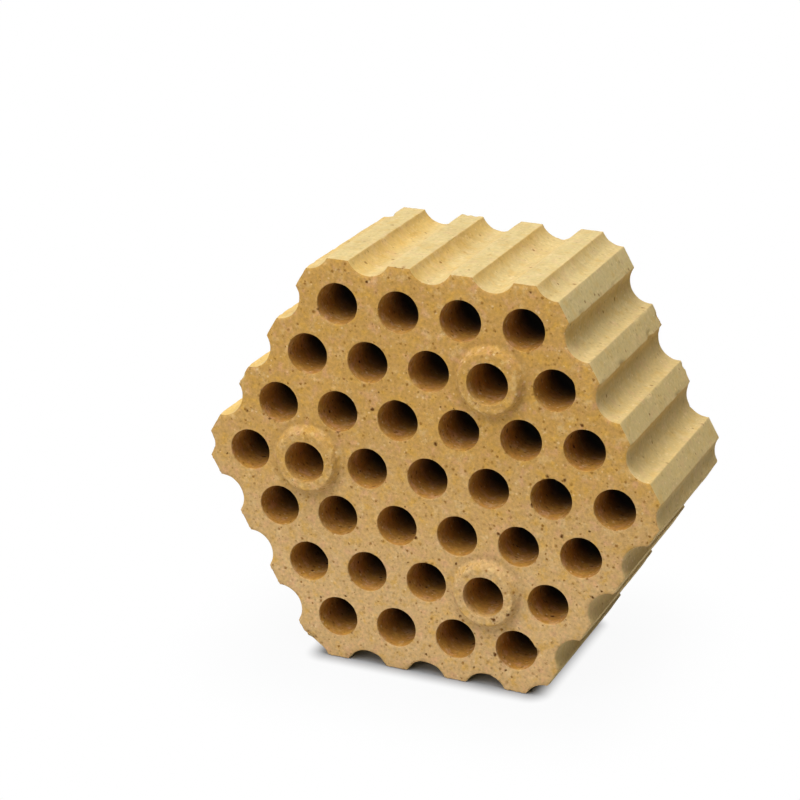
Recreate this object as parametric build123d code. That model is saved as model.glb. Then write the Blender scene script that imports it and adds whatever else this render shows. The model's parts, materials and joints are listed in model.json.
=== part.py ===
from build123d import *
import math
import os

# Lattice of the channels
pitch = 40.0  # centre to centre of neighbouring channels
rings = 3  # rings of channels round the middle one
collar_ring = 2  # ring whose corners carry the collars and the sockets

# Body
depth = 120.0  # front face to back face, without the collars
channel_d = 26.0
groove_r = 14.0  # half-round grooves of the sides and corners
joint = 12.0  # gap that two bricks laid side by side leave between their lands
arris = 0.8  # broken edge all round both faces

# Collars of the front face
collar_h = 6.0
collar_wall = 6.0  # flat top, from the channel to the flank
collar_run = 3.5  # how far the flank spreads on its way down
collar_edge = 1.0  # broken edge between the top and the flank

# Sockets of the back face, which take the collars of the next course
socket_gap = 1.5  # clearance round a seated collar
socket_seat = 1.0  # clearance over a seated collar

# Derived sizes
channel_r = channel_d / 2
lattice_apothem = (rings + 1) * pitch * math.cos(math.pi / 6)  # the groove centres lie on this hexagon
apothem = lattice_apothem - joint / 2
collar_top_r = channel_r + collar_wall
collar_base_r = collar_top_r + collar_run
flank_slope = collar_run / collar_h
socket_depth = collar_h + socket_seat
socket_mouth_r = collar_base_r + socket_gap
socket_floor_r = socket_mouth_r - flank_slope * socket_depth
front = (depth - collar_h) / 2  # collar tops and back face are equally far from the origin
back = front - depth
over = 1.0  # how far a cutter runs past the face it opens, and a collar's root into the body


def corner_points(ring):
    turns = [math.radians(60 * k) for k in range(6)]
    return [(ring * pitch * math.cos(a), ring * pitch * math.sin(a)) for a in turns]


def ring_points(ring):
    corners = corner_points(ring)
    points = []
    for k, (ax, ay) in enumerate(corners):
        bx, by = corners[(k + 1) % 6]
        for step in range(ring):
            t = step / ring
            points.append((ax + t * (bx - ax), ay + t * (by - ay)))
    return points


def turned(*profile):
    return revolve(Plane.XZ * make_face(Polyline(*profile, close=True)), Axis.Z)


# Hexagonal body with its scalloped sides
groove_points = ring_points(rings + 1)
section = RegularPolygon(apothem, 6, major_radius=False)
section -= [Pos(x, y) * Circle(groove_r) for x, y in groove_points]
body = Pos(0, 0, back) * extrude(section, depth)
rims = body.edges().filter_by_position(Axis.Z, front - arris / 2, front + arris / 2)
rims += body.edges().filter_by_position(Axis.Z, back - arris / 2, back + arris / 2)
body = chamfer(rims, arris)

# Collars on every other corner of their ring, sockets on the corners between
seats = corner_points(collar_ring)
collar_points = seats[1::2]
socket_points = seats[0::2]
collar = turned(
    (0, front - over),
    (collar_base_r, front - over),
    (collar_base_r, front),
    (collar_top_r + flank_slope * collar_edge, front + collar_h - collar_edge),
    (collar_top_r - collar_edge, front + collar_h),
    (0, front + collar_h),
)
socket = turned(
    (0, back - over),
    (socket_mouth_r + flank_slope * over, back - over),
    (socket_floor_r, back + socket_depth),
    (0, back + socket_depth),
)
body += [Pos(x, y) * collar for x, y in collar_points]
body -= [Pos(x, y) * socket for x, y in socket_points]

# Channels, right through the body, the collars and the socket floors
channel_points = [(0, 0)]
for ring in range(1, rings + 1):
    channel_points += ring_points(ring)
bore_length = depth + collar_h + 2 * over
bore = Pos(0, 0, back - over) * Cylinder(channel_r, bore_length, align=(Align.CENTER, Align.CENTER, Align.MIN))
body -= [Pos(x, y) * bore for x, y in channel_points]

# Stood on one flat side, with the collars towards -Y
checker_brick = Plane((0, 0, apothem), x_dir=(1, 0, 0), z_dir=(0, -1, 0)) * body

os.makedirs("parts", exist_ok=True)
export_step(checker_brick, "parts/checker_brick.step")
print("solids", len(checker_brick.solids()), "volume", round(checker_brick.volume))
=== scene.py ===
import bpy
import bmesh
import json
import math
from mathutils import Matrix, Vector, noise


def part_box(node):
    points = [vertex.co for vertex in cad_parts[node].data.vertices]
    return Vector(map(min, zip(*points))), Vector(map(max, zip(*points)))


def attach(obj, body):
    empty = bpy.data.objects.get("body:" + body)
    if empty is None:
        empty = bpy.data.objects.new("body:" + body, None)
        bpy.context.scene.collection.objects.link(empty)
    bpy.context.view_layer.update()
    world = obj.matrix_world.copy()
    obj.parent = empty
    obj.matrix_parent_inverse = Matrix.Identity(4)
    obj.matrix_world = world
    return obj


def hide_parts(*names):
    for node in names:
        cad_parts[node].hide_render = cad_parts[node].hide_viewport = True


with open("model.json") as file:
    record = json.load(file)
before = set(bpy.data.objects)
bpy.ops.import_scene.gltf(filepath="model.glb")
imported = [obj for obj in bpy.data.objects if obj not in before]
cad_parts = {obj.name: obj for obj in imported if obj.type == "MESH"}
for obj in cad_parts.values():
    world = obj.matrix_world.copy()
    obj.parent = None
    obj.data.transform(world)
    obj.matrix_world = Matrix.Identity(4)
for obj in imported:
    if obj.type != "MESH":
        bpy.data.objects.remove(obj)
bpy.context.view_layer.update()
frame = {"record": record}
mounts = {m["name"]: m for m in frame["record"]["mounts"]}
boxLow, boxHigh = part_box("checker_brick")
scene = bpy.context.scene
print("frame loaded")

# The brick, in metres; it is modelled lying on its back, front face up, and stood up at the end
brick = {
    "segments": 48,  # sides of a channel, a multiple of six
    "rings": 6,  # faces from a channel to the edge of its share of the face
    "seatRings": 12,  # the same round a collar or a socket
    "channelRings": 3,  # rings of channels round the middle one
    "grooveRadius": 0.014,
    "collarTop": 0.0186, "collarFoot": 0.0227,
    "flankCurve": 0.55,  # how far a collar's flank is an S curve and not a cone
    "socketFloor": 0.0199, "socketMouth": 0.0240,
    "grittyFrom": 0.0025,  # clean strip round a collar's mouth
    "smoothFrom": 0.8, "smoothGrit": 0.6,  # the lowest part of a flank is less gritty
    "footAt": 0.0245, "footReach": 0.004,  # painted shade that lies round a collar's foot
    "arris": 0.0006, "rimArris": 0.0002,  # broken edges outside and at the channel mouths
    "flare": 0.00028, "flareReach": 0.010,  # channels open out a little towards their mouths
    "sharpAngle": 35,
    "rimDepths": (0.0017, 0.005, 0.013, 0.035),  # rows of a channel wall, from either mouth
    "sideStart": 0.0017,  # first row of the lands and grooves
    "sideStep": 0.0034,
}

# Sizes that the frame already holds
channelRadius = mounts["corner_channel_right"]["dims"]["r_mm"] / 1000
pitch = mounts["corner_channel_right"]["pos_m"][0] / brick["channelRings"]
midHeight = (boxLow.z + boxHigh.z) / 2
apothem = (boxHigh.z - boxLow.z) / 2
frontFace = -mounts["front_bed"]["pos_m"][1]
backFace = -mounts["back_bed"]["pos_m"][1]
collarHeight = -boxLow.y - frontFace
socketWall = mounts["socket_channel_right"]
socketDepth = -(socketWall["pos_m"][1] + socketWall["dims"]["length_mm"] / 2000) - backFace
wallReach = channelRadius * 1.02  # what lies nearer to a channel's middle is its wall
standUp = Matrix.Translation((0, 0, midHeight)) @ Matrix.Rotation(math.radians(90), 4, "X")
layDown = standUp.inverted()


def seatCentres(word):
    spots = [m["pos_m"] for name, m in mounts.items() if name.startswith(word)]
    return [Vector((p[0], p[2] - midHeight, 0)) for p in spots]


def latticePoints(rings):
    points = []
    for row in range(-rings, rings + 1):
        for step in range(-rings, rings + 1):
            ring = max(abs(row), abs(step), abs(row + step))
            if ring <= rings:
                x = pitch * (step + row / 2)
                y = pitch * math.sqrt(3) / 2 * row
                points.append((ring, Vector((x, y, 0))))
    return points


collarSeats = seatCentres("collar_channel")
socketSeats = seatCentres("socket_channel")
grooveRing = brick["channelRings"] + 1
channelCentres = [c for ring, c in latticePoints(grooveRing) if ring < grooveRing]
grooveCentres = [c for ring, c in latticePoints(grooveRing) if ring == grooveRing]


def ofType(geom, kind):
    return [g for g in geom if isinstance(g, kind)]


def level(co):
    return Vector((co.x, co.y, 0))


def nearest(co, centres):
    flat = level(co)
    return min((flat - c).length for c in centres)


def ease(t):
    t = min(1, max(0, t))
    return t * t * (3 - 2 * t)


def addCell(bm, centre, radius, rings):
    # one channel mouth inside its six-sided share of the face
    place = Matrix.Translation(centre + Vector((0, 0, frontFace)))
    sides = brick["segments"]
    mouth = bmesh.ops.create_circle(bm, radius=radius, segments=sides, matrix=place)
    share = bmesh.ops.create_circle(bm, radius=pitch / math.sqrt(3), segments=6, matrix=place)
    mouthEdges = list({e for v in mouth["verts"] for e in v.link_edges})
    shareEdges = list({e for v in share["verts"] for e in v.link_edges})
    cut = bmesh.ops.subdivide_edges(bm, edges=shareEdges, cuts=sides // 6 - 1)
    shareEdges = ofType(cut["geom"], bmesh.types.BMEdge)
    band = bmesh.ops.bridge_loops(bm, edges=mouthEdges + shareEdges)
    rim = set(mouthEdges) | set(shareEdges)
    spokes = [e for e in {e for f in band["faces"] for e in f.edges} if e not in rim]
    bmesh.ops.subdivide_edges(bm, edges=spokes, cuts=rings - 1, use_grid_fill=True)


def cutRows(bm, faces, heights):
    # level cuts round a set of wall faces
    for height in heights:
        geom = list({v for f in faces for v in f.verts})
        geom += list({e for f in faces for e in f.edges})
        geom += faces
        ret = bmesh.ops.bisect_plane(
            bm, geom=geom, dist=1e-6, plane_co=(0, 0, height), plane_no=(0, 0, 1))
        faces = ofType(ret["geom"], bmesh.types.BMFace)


def buildBody(bm):
    for ring, centre in latticePoints(grooveRing):
        radius = channelRadius if ring < grooveRing else brick["grooveRadius"]
        seated = nearest(centre, collarSeats + socketSeats) < pitch / 2
        addCell(bm, centre, radius, brick["seatRings"] if seated else brick["rings"])
    bmesh.ops.remove_doubles(bm, verts=bm.verts, dist=1e-5)
    # trim to the hexagon of the lands
    for side in range(6):
        turn = math.radians(30 + 60 * side)
        out = Vector((math.cos(turn), math.sin(turn), 0))
        geom = bm.verts[:] + bm.edges[:] + bm.faces[:]
        bmesh.ops.bisect_plane(
            bm, geom=geom, dist=1e-6, plane_co=out * apothem, plane_no=out, clear_outer=True)
    bmesh.ops.remove_doubles(bm, verts=bm.verts, dist=2e-4)
    # give the face its depth, and the walls their rows
    deep = bmesh.ops.extrude_face_region(bm, geom=bm.faces[:])
    moved = ofType(deep["geom"], bmesh.types.BMVert)
    bmesh.ops.translate(bm, verts=moved, vec=(0, 0, backFace - frontFace))
    bmesh.ops.recalc_face_normals(bm, faces=bm.faces)
    walls = {"channel": [], "side": []}
    for f in bm.faces:
        if abs(f.normal.z) < 0.5:
            inChannel = nearest(f.calc_center_median(), channelCentres) < wallReach
            walls["channel" if inChannel else "side"].append(f)
    rows = [frontFace - d for d in brick["rimDepths"]]
    rows += [backFace + d for d in brick["rimDepths"]]
    cutRows(bm, walls["channel"], rows)
    span = frontFace - backFace - 2 * brick["sideStart"]
    count = round(span / brick["sideStep"])
    rows = [backFace + brick["sideStart"] + span * i / count for i in range(count + 1)]
    cutRows(bm, walls["side"], rows)
    print("brick body", len(bm.faces), "faces")


def breakEdges(bm, arris):
    limit = math.radians(brick["sharpAngle"])
    for width, atMouths in ((brick["arris"], False), (brick["rimArris"], True)):
        sharp = []
        for e in bm.edges:
            spot = (e.verts[0].co + e.verts[1].co) / 2
            atMouth = nearest(spot, channelCentres) < wallReach
            if atMouth == atMouths and e.calc_face_angle() > limit:
                sharp.append(e)
        worn = bmesh.ops.bevel(
            bm, geom=sharp, offset=width, offset_type="OFFSET", segments=2,
            profile=0.5, affect="EDGES", material=-1, clamp_overlap=True)
        for f in worn["faces"]:
            for v in f.verts:
                v[arris] = 1
        print("edges broken", len(sharp))


def markZones(bm, side, groove, bore, shadedWall):
    # which verts lie on the pressed sides, in their grooves and in the channels
    skin = brick["arris"] * 0.6
    for v in bm.verts:
        onFace = v.co.z > frontFace - skin or v.co.z < backFace + skin
        if nearest(v.co, channelCentres) < channelRadius + skin:
            v[bore] = 0.0 if onFace else 1.0
        elif not onFace:
            v[side] = 1.0
            middle = min(grooveCentres, key=lambda c: (level(v.co) - c).length)
            off = level(v.co) - middle
            if off.length < brick["grooveRadius"] + skin:
                v[groove] = 1.0
                # painted shade: one wall of every groove gets the warmer tone it shows in shadow
                v[shadedWall] = max(0, middle.normalized().cross(off).z / brick["grooveRadius"])


def flareMouths(bm):
    for v in bm.verts:
        middle = min(channelCentres, key=lambda c: (level(v.co) - c).length)
        off = level(v.co) - middle
        depth = min(frontFace - v.co.z, v.co.z - backFace)
        if off.length < channelRadius + brick["rimArris"] * 1.5 and depth < brick["flareReach"]:
            v.co += off.normalized() * brick["flare"] * (1 - depth / brick["flareReach"]) ** 2


def raiseSeats(bm, grit, footShadow):
    # collars stand up from the front face and sockets are let into the back
    reach = brick["rimDepths"][0] * 0.9
    wallEnd = brick["rimDepths"][2]  # a socket pushes its channel's rows in, as far as this one
    for v in bm.verts:
        if v.co.z > frontFace - reach:
            d = nearest(v.co, collarSeats)
            # painted shade round the foot of a collar
            v[footShadow] = ease(1 - abs(d - brick["footAt"]) / brick["footReach"])
            t = (d - brick["collarTop"]) / (brick["collarFoot"] - brick["collarTop"])
            if t < 1:
                fall = brick["flankCurve"] * ease(t) + (1 - brick["flankCurve"]) * max(0, t)
                v.co.z += collarHeight * (1 - fall)
                rough = 1 if t < brick["smoothFrom"] else brick["smoothGrit"]
                v[grit] = rough * ease((d - channelRadius) / brick["grittyFrom"])
        elif v.co.z < backFace + wallEnd:
            depth = v.co.z - backFace
            d = nearest(v.co, socketSeats)
            t = (d - brick["socketFloor"]) / (brick["socketMouth"] - brick["socketFloor"])
            if d < wallReach:
                v.co.z += socketDepth * (1 - depth / wallEnd)
            elif depth < reach and t < 1:
                v.co.z += socketDepth * (1 - max(0, t))


def refineCollars(bm):
    # finer faces where the grit has to show
    keep = set()
    for f in bm.faces:
        spot = f.calc_center_median()
        onFront = spot.z > frontFace - brick["arris"]
        if onFront and nearest(spot, collarSeats) < brick["collarFoot"] * 1.03:
            keep.update(f.edges)
    bmesh.ops.subdivide_edges(bm, edges=list(keep), cuts=1, use_grid_fill=True)


# Wear: how far a vert moves, in metres, and the size of each kind of mark
wear = {
    "swell": 0.00012, "swellSize": 0.040,  # slow unevenness of the pressed faces
    "grain": 0.00006, "grainSize": 0.0035,
    "ragged": 0.00050, "raggedSize": 0.0042, "raggedFrom": 0.1,  # crumbled arrises
    "crumb": 0.0012, "crumbSize": 0.013, "crumbFrom": 0.45, "crumbFade": 0.35,  # rarer, larger losses
    "rounding": 0.0006, "roundingReach": 0.005,  # outer arrises rubbed round next to the front face
    "mouthZone": 0.0148, "rimShare": 0.3,  # channel mouths crumble less than the outer arrises
    "grit": 0.00040, "gritSize": 0.0026, "gritSink": 0.25,  # rough collars
    "chipFade": 1.3, "jag": 0.6, "jagSize": 0.0022,  # ragged outline and floor of a chip
    # chips and pits, each with its spot on the standing brick, its reach and its depth
    "chips": (
        ((-0.0745, 0.0500, 0.2651), 0.0060, 0.0024),  # far left arris of the first top land
        ((-0.0690, 0.0430, 0.2645), 0.0045, 0.0016),
        ((-0.0765, 0.0600, 0.2640), 0.0055, 0.0026),
        ((0.1085, 0.0382, 0.2100), 0.0045, 0.0020),  # cracked end of the second right land
        ((-0.0730, -0.0570, 0.2295), 0.0034, 0.0014),  # channel rims
        ((0.0735, -0.0570, 0.0301), 0.0036, 0.0016),
        ((0.1088, -0.0570, 0.2146), 0.0030, 0.0013),  # front arrises of the right side
        ((0.1127, -0.0570, 0.1915), 0.0030, 0.0013),
        ((-0.0811, -0.0570, 0.0080), 0.0058, 0.0030),  # lower left corner
        ((-0.0811, -0.0520, 0.0080), 0.0058, 0.0024),
        ((0.1072, 0.0630, 0.2121), 0.0065, 0.0014),  # far ends of the right lands
        ((0.1276, 0.0630, 0.1768), 0.0050, 0.0008),
    ),
}


def spread(bm, layer, rounds, keep):
    # lets a mark fade out over its neighbours
    for step in range(rounds):
        grown = {}
        for v in bm.verts:
            around = max(e.other_vert(v)[layer] for e in v.link_edges)
            if around * keep > v[layer]:
                grown[v] = around * keep
        for v, value in grown.items():
            v[layer] = value


def rugged(p, size, finer, share):
    return noise.noise(p / size) + share * noise.noise(p * finer / size)


def wearAway(bm, arris, grit):
    bm.normal_update()
    chips = [(layDown @ Vector(spot), reach, depth) for spot, reach, depth in wear["chips"]]
    moves = []
    for v in bm.verts:
        p = v.co
        push = wear["swell"] * noise.noise(p / wear["swellSize"])
        push += wear["grain"] * noise.noise(p / wear["grainSize"])
        if v[arris] > 0:
            atMouth = nearest(p, channelCentres) < wear["mouthZone"]
            share = wear["rimShare"] if atMouth else 1
            rough = rugged(p, wear["raggedSize"], 2.3, 0.5)
            push -= v[arris] ** 2 * share * wear["ragged"] * max(0, rough - wear["raggedFrom"])
            if not atMouth:
                near = ease(1 - (frontFace - p.z) / wear["roundingReach"])
                push -= v[arris] ** 2 * wear["rounding"] * near
            loss = noise.noise(p / wear["crumbSize"] + Vector((3.1, 7.7, 1.3))) + 0.25 * rough
            lost = ease((loss - wear["crumbFrom"]) / wear["crumbFade"])
            push -= v[arris] * share * wear["crumb"] * lost
        if v[grit] > 0:
            rough = rugged(p, wear["gritSize"], 2.1, 0.6)
            push += v[grit] * wear["grit"] * (rough - wear["gritSink"])
        for spot, reach, depth in chips:
            d = (p - spot).length / reach
            if d < wear["chipFade"]:
                jag = 0.75 + wear["jag"] * noise.noise(p / wear["jagSize"])
                push -= depth * jag * ease(wear["chipFade"] - d)
        moves.append(v.normal * push)
    for v, move in zip(bm.verts, moves):
        v.co += move
    print("wear done")


def makeBrick():
    bm = bmesh.new()
    arris = bm.verts.layers.float.new("arris")
    side = bm.verts.layers.float.new("side")
    groove = bm.verts.layers.float.new("groove")
    bore = bm.verts.layers.float.new("bore")
    shadedWall = bm.verts.layers.float.new("shadedWall")
    grit = bm.verts.layers.float.new("grit")
    footShadow = bm.verts.layers.float.new("footShadow")
    buildBody(bm)
    breakEdges(bm, arris)
    markZones(bm, side, groove, bore, shadedWall)
    flareMouths(bm)
    raiseSeats(bm, grit, footShadow)
    refineCollars(bm)
    spread(bm, arris, 2, 0.55)
    wearAway(bm, arris, grit)
    bmesh.ops.transform(bm, matrix=standUp, verts=bm.verts)
    # nothing stands out past the solid's box
    for v in bm.verts:
        v.co = [min(max(c, lo), hi) for c, lo, hi in zip(v.co, boxLow, boxHigh)]
    for f in bm.faces:
        f.smooth = True
    mesh = bpy.data.meshes.new("checkerBrick")
    bm.to_mesh(mesh)
    bm.free()
    piece = bpy.data.objects.new("checkerBrick", mesh)
    scene.collection.objects.link(piece)
    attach(piece, "root")
    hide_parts("checker_brick")
    flat = piece.modifiers.new("flatFaces", "WEIGHTED_NORMAL")
    flat.weight = 50
    print("brick made", sum(len(p.vertices) - 2 for p in mesh.polygons), "triangles")
    return piece


def node(tree, kind, inputs=None, **settings):
    made = tree.nodes.new(kind)
    for name, value in settings.items():
        setattr(made, name, value)
    for name, value in (inputs or {}).items():
        if isinstance(value, bpy.types.NodeSocket):
            tree.links.new(value, made.inputs[name])
        else:
            made.inputs[name].default_value = value
    return made


def mixColour(tree, factor, a, b, blend="MIX"):
    made = node(tree, "ShaderNodeMix", {0: factor, 6: a, 7: b}, data_type="RGBA", blend_type=blend)
    return made.outputs[2]


def maths(tree, operation, a, b=0.0, clamp=False):
    made = node(tree, "ShaderNodeMath", {0: a, 1: b}, operation=operation, use_clamp=clamp)
    return made.outputs[0]


def remap(tree, value, low, high, toLow=0.0, toHigh=1.0, smooth=True):
    kind = "SMOOTHSTEP" if smooth else "LINEAR"
    made = node(tree, "ShaderNodeMapRange", {
        "Value": value, "From Min": low, "From Max": high, "To Min": toLow, "To Max": toHigh,
    }, interpolation_type=kind)
    return made.outputs[0]


def cloud(tree, vector, size, detail=3.0, rough=0.55):
    made = node(tree, "ShaderNodeTexNoise", {
        "Vector": vector, "Scale": 1 / size, "Detail": detail, "Roughness": rough})
    return made.outputs[0]


def tone(red, green, blue):
    # a colour written as it looks on screen, 0 to 255
    parts = []
    for c in (red, green, blue):
        c = c / 255
        parts.append(c / 12.92 if c <= 0.04045 else ((c + 0.055) / 1.055) ** 2.4)
    return (*parts, 1.0)


# Grains in the clay: how they are bent out of round, the smallest one and its solid core
speck = {"bendScale": 5.0, "bend": 1.1, "smallest": 0.35, "core": 0.3}


def makeSpecks():
    # grains scattered through the clay, each of its own size
    group = bpy.data.node_groups.new("claySpecks", "ShaderNodeTree")
    face = group.interface
    face.new_socket("Vector", in_out="INPUT", socket_type="NodeSocketVector")
    for name in ("Spacing", "Size", "Share"):
        face.new_socket(name, in_out="INPUT", socket_type="NodeSocketFloat")
    face.new_socket("Mask", in_out="OUTPUT", socket_type="NodeSocketFloat")
    given = group.nodes.new("NodeGroupInput")
    result = group.nodes.new("NodeGroupOutput")
    scale = maths(group, "DIVIDE", 1.0, given.outputs["Spacing"])
    bendScale = maths(group, "MULTIPLY", scale, speck["bendScale"])
    bend = node(group, "ShaderNodeTexNoise", {
        "Vector": given.outputs["Vector"], "Scale": bendScale, "Detail": 2.0})
    shift = node(group, "ShaderNodeVectorMath", {0: bend.outputs[1], 1: (0.5, 0.5, 0.5)},
                 operation="SUBTRACT")
    amount = maths(group, "MULTIPLY", given.outputs["Size"], speck["bend"])
    scaled = node(group, "ShaderNodeVectorMath", {0: shift.outputs[0]}, operation="SCALE")
    group.links.new(amount, scaled.inputs["Scale"])
    bent = node(group, "ShaderNodeVectorMath", {0: given.outputs["Vector"], 1: scaled.outputs[0]})
    cells = node(group, "ShaderNodeTexVoronoi", {"Vector": bent.outputs[0], "Scale": scale})
    chance = node(group, "ShaderNodeSeparateColor", {0: cells.outputs["Color"]})
    radius = remap(group, chance.outputs[0], 0.0, 1.0, speck["smallest"], 1.0, smooth=False)
    radius = maths(group, "MULTIPLY", radius, given.outputs["Size"])
    radius = maths(group, "MULTIPLY", radius, scale)
    inner = maths(group, "MULTIPLY", radius, speck["core"])
    spot = remap(group, cells.outputs["Distance"], radius, inner)
    there = maths(group, "LESS_THAN", chance.outputs[1], given.outputs["Share"])
    group.links.new(maths(group, "MULTIPLY", spot, there), result.inputs["Mask"])
    return group


# Fired clay: colours as seen on screen, sizes in metres
clay = {
    # low is painted light: the face paler near the floor
    "bed": tone(192, 149, 79), "low": tone(205, 169, 115),
    "land": tone(211, 189, 132), "groove": tone(210, 186, 128), "stain": tone(242, 234, 222),
    # painted shade: the warm tone of the groove walls turned away from the lamps
    "shadedWall": tone(216, 182, 108),
    "lowFrom": 0.235, "lowAt": 0.085,  # heights between which the face pales: painted light from the floor's bounce
    "patchy": 0.60,  # how far the stained patches of the sides go to the stain
    "shadeRightSide": 0.6, "shadeRightFrom": 0.080, "shadeRightAt": 0.115,  # painted shade: the whole right side goes towards the stain colour too
    "mouth": tone(186, 134, 60),
    "deepShade": 0.02, "deepFrom": 0.013, "deepAt": 0.041,  # painted shade deep in the channels, by depth
    "warm": tone(205, 158, 66), "rose": tone(211, 160, 124), "pale": tone(232, 208, 160),
    "worn": tone(226, 196, 140), "crumb": tone(236, 206, 140),
    "iron": tone(130, 83, 22), "black": tone(92, 54, 12),
    "broadSize": 0.050, "stainSize": 0.020, "mottleSize": 0.0065,
    "tintSize": 0.0080, "grainSize": 0.0022, "streakSize": 0.004,
    "warmShare": 0.58, "roseShare": 0.42, "paleShare": 0.30,  # strongest tint of the mottling
    "calmSide": 0.50,  # how much of the mottling the pressed sides keep
    # each kind of grain: its spacing, largest radius and share of the cells that hold one
    "ironSpecks": (0.0042, 0.0016, 0.9), "blackSpecks": (0.0105, 0.0019, 0.8),
    "dust": (0.0028, 0.0013, 0.8), "grains": (0.0036, 0.0012, 0.7), "crumbs": (0.0040, 0.0026, 0.75),
    "grainShare": 0.50, "dustShare": 0.40, "crumbShare": 0.35,  # how strongly they show
    "sideSpecks": 0.40, "sideBlack": 0.75,  # how much of the specks the sides keep
    "gritShade": 0.97, "footShade": 0.88,  # how dark the collars go, and the painted shade round their foot
    "roughness": 0.9, "roughnessSpread": 0.08, "specular": 0.25,
    "bumpDepth": 0.0005, "bump": 0.6,  # relief finer than the mesh
}


def makeClay(specks):
    material = bpy.data.materials.new("fireclay")
    material.use_nodes = True
    tree = material.node_tree
    shader = tree.nodes["Principled BSDF"]
    place = node(tree, "ShaderNodeTexCoord").outputs["Object"]
    along = node(tree, "ShaderNodeSeparateXYZ", {0: place}).outputs

    def mark(name):
        return node(tree, "ShaderNodeAttribute", attribute_name=name).outputs["Fac"]

    def moved(offset):
        return node(tree, "ShaderNodeVectorMath", {0: place, 1: (offset, offset, offset)}).outputs[0]

    def speckle(kind, offset):
        made = node(tree, "ShaderNodeGroup", node_tree=specks)
        tree.links.new(moved(offset), made.inputs["Vector"])
        for name, value in zip(("Spacing", "Size", "Share"), clay[kind]):
            made.inputs[name].default_value = value
        return made.outputs["Mask"]

    arris, side, groove, bore, grit = (mark(n) for n in ("arris", "side", "groove", "bore", "grit"))
    shadedWall = remap(tree, mark("shadedWall"), 0.1, 0.8)
    broad = cloud(tree, place, clay["broadSize"], 2.0)
    mottle = cloud(tree, place, clay["mottleSize"], 4.0, 0.65)
    tint = cloud(tree, moved(0.4), clay["tintSize"], 3.0, 0.6)
    grain = cloud(tree, place, clay["grainSize"], 3.0, 0.6)
    # painted light: the face pales towards the side it stands on, where the floor's bounce lights it
    paintedBounce = maths(tree, "ADD", along[2], maths(tree, "MULTIPLY", broad, 0.10))
    paintedBounce = remap(tree, paintedBounce, clay["lowFrom"], clay["lowAt"])
    colour = mixColour(tree, paintedBounce, clay["bed"], clay["low"])
    # pressed sides, drawn out along the brick
    drawn = node(tree, "ShaderNodeVectorMath", {0: place, 1: (1.0, 0.05, 1.0)}, operation="MULTIPLY")
    streak = cloud(tree, drawn.outputs[0], clay["streakSize"], 3.0)
    pressed = mixColour(tree, groove, clay["land"], clay["groove"])
    # painted shade, warming one wall of every groove
    pressed = mixColour(tree, shadedWall, pressed, clay["shadedWall"])
    stain = cloud(tree, moved(0.7), clay["stainSize"], 3.0)
    patchy = remap(tree, stain, 0.45, 0.70, 0.0, clay["patchy"])
    # painted shade over the right side, in the stain colour, joined to the real stained patches
    paintedRightShade = remap(tree, along[0], clay["shadeRightFrom"], clay["shadeRightAt"], 0.0, clay["shadeRightSide"])
    stainsAndShade = maths(tree, "MAXIMUM", patchy, paintedRightShade)
    pressed = mixColour(tree, stainsAndShade, pressed, clay["stain"], "MULTIPLY")
    colour = mixColour(tree, side, colour, pressed)
    colour = mixColour(tree, bore, colour, clay["mouth"])
    # mottling, grain and drag lines
    calm = remap(tree, side, 0.0, 1.0, 1.0, clay["calmSide"])
    warmth = maths(tree, "MULTIPLY", remap(tree, tint, 0.50, 0.70, 0.0, clay["warmShare"]), calm)
    colour = mixColour(tree, warmth, colour, clay["warm"])
    rosy = maths(tree, "MULTIPLY", remap(tree, tint, 0.48, 0.30, 0.0, clay["roseShare"]), calm)
    colour = mixColour(tree, rosy, colour, clay["rose"])
    paler = remap(tree, mottle, 0.50, 0.75, 0.0, clay["paleShare"])
    colour = mixColour(tree, paler, colour, clay["pale"])
    shade = remap(tree, broad, 0.3, 0.7, 0.96, 1.04, smooth=False)
    uneven = remap(tree, grain, 0.25, 0.75, -0.22, 0.20, smooth=False)
    uneven = maths(tree, "MULTIPLY", uneven, calm)
    shade = maths(tree, "MULTIPLY", shade, maths(tree, "ADD", uneven, 1.0))
    lines = remap(tree, streak, 0.3, 0.7, 0.95, 1.04, smooth=False)
    lines = node(tree, "ShaderNodeMix", {0: side, 2: 1.0, 3: lines}).outputs[0]
    shade = maths(tree, "MULTIPLY", shade, lines)
    # collars, and the painted shade round their foot
    for where, darkest in ((grit, clay["gritShade"]), (mark("footShadow"), clay["footShade"])):
        darker = remap(tree, where, 0.0, 1.0, 1.0, darkest)
        shade = maths(tree, "MULTIPLY", shade, darker)
    # painted shade: channels darken away from both mouths
    middle = (boxHigh.y - frontFace) / 2
    fromMiddle = maths(tree, "ABSOLUTE", maths(tree, "SUBTRACT", along[1], middle))
    mouthAt = (frontFace - backFace) / 2
    channelShadeFrom, channelShadeAt = mouthAt - clay["deepFrom"], mouthAt - clay["deepAt"]
    depth = remap(tree, fromMiddle, channelShadeFrom, channelShadeAt, 1.0, clay["deepShade"])
    depth = node(tree, "ShaderNodeMix", {0: bore, 2: 1.0, 3: depth}).outputs[0]
    shaded = node(tree, "ShaderNodeVectorMath", {0: colour}, operation="SCALE")
    tree.links.new(shade, shaded.inputs["Scale"])
    colour = shaded.outputs[0]
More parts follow.
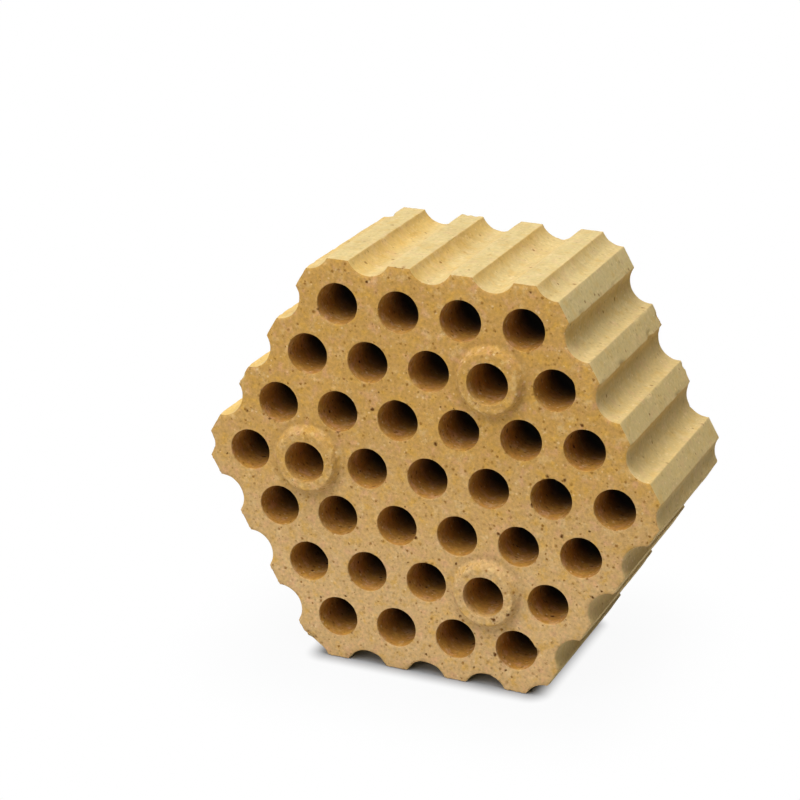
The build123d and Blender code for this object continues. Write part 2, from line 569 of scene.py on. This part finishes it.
    # pale grains, faint brown dust, iron specks and a few black ones, fewer on the sides
    light = maths(tree, "MULTIPLY", speckle("grains", 0.91), clay["grainShare"])
    colour = mixColour(tree, light, colour, clay["pale"])
    fewer = remap(tree, side, 0.0, 1.0, 1.0, clay["sideSpecks"])
    faint = maths(tree, "MULTIPLY", remap(tree, mottle, 0.35, 0.60, 0.40, 0.90), fewer)
    fainter = maths(tree, "MULTIPLY", faint, clay["dustShare"])
    dust = maths(tree, "MULTIPLY", speckle("dust", 0.31), fainter)
    colour = mixColour(tree, dust, colour, clay["iron"])
    iron = maths(tree, "MULTIPLY", speckle("ironSpecks", 0.13), faint)
    colour = mixColour(tree, iron, colour, clay["iron"])
    fewer = remap(tree, side, 0.0, 1.0, 1.0, clay["sideBlack"])
    black = maths(tree, "MULTIPLY", speckle("blackSpecks", 0.53), fewer)
    colour = mixColour(tree, black, colour, mixColour(tree, side, clay["black"], clay["iron"]))
    channelShaded = node(tree, "ShaderNodeVectorMath", {0: colour}, operation="SCALE")
    tree.links.new(depth, channelShaded.inputs["Scale"])
    colour = channelShaded.outputs[0]
    # rubbed arrises and crumbly collars
    rub = maths(tree, "MULTIPLY", maths(tree, "SUBTRACT", arris, bore, clamp=True), side)
    rub = maths(tree, "MULTIPLY", rub, remap(tree, mottle, 0.35, 0.70, 0.05, 0.40))
    colour = mixColour(tree, rub, colour, clay["worn"])
    crumbs = maths(tree, "MULTIPLY", speckle("crumbs", 0.77), grit)
    bright = maths(tree, "MULTIPLY", crumbs, clay["crumbShare"])
    colour = mixColour(tree, bright, colour, clay["crumb"])
    tree.links.new(colour, shader.inputs["Base Color"])
    low = clay["roughness"] - clay["roughnessSpread"]
    high = clay["roughness"] + clay["roughnessSpread"]
    dull = remap(tree, grain, 0.2, 0.8, low, high, smooth=False)
    tree.links.new(dull, shader.inputs["Roughness"])
    shader.inputs["Specular IOR Level"].default_value = clay["specular"]
    # fine relief: grain and mottling stand up, black specks are pits
    relief = maths(tree, "ADD", calm, remap(tree, grit, 0.0, 1.0, -0.4, 0.3))
    relief = maths(tree, "SUBTRACT", relief, maths(tree, "MULTIPLY", side, 0.25))
    height = maths(tree, "MULTIPLY", grain, relief)
    waves = maths(tree, "MULTIPLY", mottle, maths(tree, "MULTIPLY", calm, 0.5))
    height = maths(tree, "ADD", height, waves)
    height = maths(tree, "ADD", height, maths(tree, "MULTIPLY", crumbs, 0.5))
    height = maths(tree, "SUBTRACT", height, maths(tree, "MULTIPLY", black, 0.5))
    bump = node(tree, "ShaderNodeBump", {
        "Height": height, "Strength": clay["bump"], "Distance": clay["bumpDepth"]})
    tree.links.new(bump.outputs[0], shader.inputs["Normal"])
    print("clay finish made")
    return material


# Floor, world, lamps and camera
studio = {
    "floorSize": 6.0,
    "footing": 1.8,  # half the width that the brick stands on, in pitches
    "floorTone": (0.33, 0.34, 0.36, 1.0), "floorBounce": (0.55, 0.54, 0.52, 1.0),
    # how white the floor glows to the lens: under the brick, close by and far away
    "glow": (0.0, 0.95, 1.0), "glowInset": 0.004, "glowNear": 0.017, "glowFar": 0.12,
    "skyLevel": 0.03,
    # each lamp: its kind, where it stands, its strength, and its size or its angle in degrees
    "lamps": {
        "overhead": ("SUN", (0.02, 0.0, 1.9), 1.68, 45),
        "overheadFront": ("SUN", (-0.05, -0.80, 1.85), 1.70, 45),
        "frontHigh": ("AREA", (-0.75, -1.10, 1.15), 5.1, 0.80),
        "frontFill": ("AREA", (-0.25, -1.60, 0.75), 6.0, 0.80),
        "backFill": ("AREA", (-0.50, 1.50, 0.75), 3.2, 0.90),
    },
    "aimAt": 0.13,  # height the lamps point at
    "cameraAt": (0.5313, -1.3494, 0.7073),
    "cameraTurn": (69.463, -0.332, 23.164),  # degrees
    "lens": 111.64, "sensor": 36,  # millimetres
}


def whiteRays(tree):
    # what the lens sees, directly or in a reflection
    path = node(tree, "ShaderNodeLightPath")
    seen = maths(tree, "MAXIMUM", path.outputs["Is Camera Ray"], path.outputs["Is Glossy Ray"])
    return maths(tree, "MAXIMUM", seen, path.outputs["Is Transmission Ray"])


def makeFloor():
    bm = bmesh.new()
    bmesh.ops.create_grid(bm, x_segments=2, y_segments=2, size=studio["floorSize"])
    mesh = bpy.data.meshes.new("floor")
    bm.to_mesh(mesh)
    bm.free()
    floor = bpy.data.objects.new("floor", mesh)
    scene.collection.objects.link(floor)
    paper = bpy.data.materials.new("floorPaper")
    paper.use_nodes = True
    tree = paper.node_tree
    tree.nodes.remove(tree.nodes["Principled BSDF"])
    # distance from the brick's footing
    place = node(tree, "ShaderNodeTexCoord").outputs["Object"]
    along = node(tree, "ShaderNodeSeparateXYZ", {0: place}).outputs
    inset = studio["glowInset"]
    squares = []
    for c, half in zip(along, (pitch * studio["footing"], frontFace)):
        past = maths(tree, "SUBTRACT", maths(tree, "ABSOLUTE", c), half - inset)
        squares.append(maths(tree, "POWER", maths(tree, "MAXIMUM", past, 0.0), 2.0))
    away = maths(tree, "SQRT", maths(tree, "ADD", *squares))
    under, near, far = studio["glow"]
    glow = remap(tree, away, 0.0, studio["glowNear"], under, near)
    rest = remap(tree, away, studio["glowNear"], studio["glowFar"], 0.0, far - near)
    glow = maths(tree, "ADD", glow, rest)
    seen = node(tree, "ShaderNodeBsdfDiffuse", {"Color": studio["floorTone"]})
    white = node(tree, "ShaderNodeEmission", {"Color": (1, 1, 1, 1), "Strength": 1.0})
    seen = node(tree, "ShaderNodeMixShader", {0: glow, 1: seen.outputs[0], 2: white.outputs[0]})
    bounce = node(tree, "ShaderNodeBsdfDiffuse", {"Color": studio["floorBounce"]})
    both = node(tree, "ShaderNodeMixShader", {
        0: whiteRays(tree), 1: bounce.outputs[0], 2: seen.outputs[0]})
    tree.links.new(both.outputs[0], tree.nodes["Material Output"].inputs["Surface"])
    mesh.materials.append(paper)


def makeStudio():
    makeFloor()
    world = bpy.data.worlds.new("studioWorld")
    world.use_nodes = True
    tree = world.node_tree
    back = tree.nodes["Background"]
    back.inputs["Color"].default_value = (1, 1, 1, 1)
    strength = node(tree, "ShaderNodeMix", {0: whiteRays(tree), 2: studio["skyLevel"], 3: 1.0})
    tree.links.new(strength.outputs[0], back.inputs["Strength"])
    scene.world = world
    aim = Vector((0, 0, studio["aimAt"]))
    for name, (kind, spot, power, size) in studio["lamps"].items():
        data = bpy.data.lights.new(name, kind)
        data.energy = power
        if kind == "SUN":
            data.angle = math.radians(size)
        else:
            data.size = size
        lamp = bpy.data.objects.new(name, data)
        scene.collection.objects.link(lamp)
        lamp.location = spot
        lamp.rotation_euler = (Vector(spot) - aim).to_track_quat("Z", "Y").to_euler()
        lamp.visible_camera = False
    camera = bpy.data.objects.new("camera", bpy.data.cameras.new("camera"))
    scene.collection.objects.link(camera)
    camera.location = studio["cameraAt"]
    camera.rotation_euler = [math.radians(a) for a in studio["cameraTurn"]]
    camera.data.lens = studio["lens"]
    camera.data.sensor_width = studio["sensor"]
    scene.camera = camera
    scene.view_settings.view_transform = "Standard"
    print("studio set")


brickPiece = makeBrick()
brickPiece.data.materials.append(makeClay(makeSpecks()))
makeStudio()
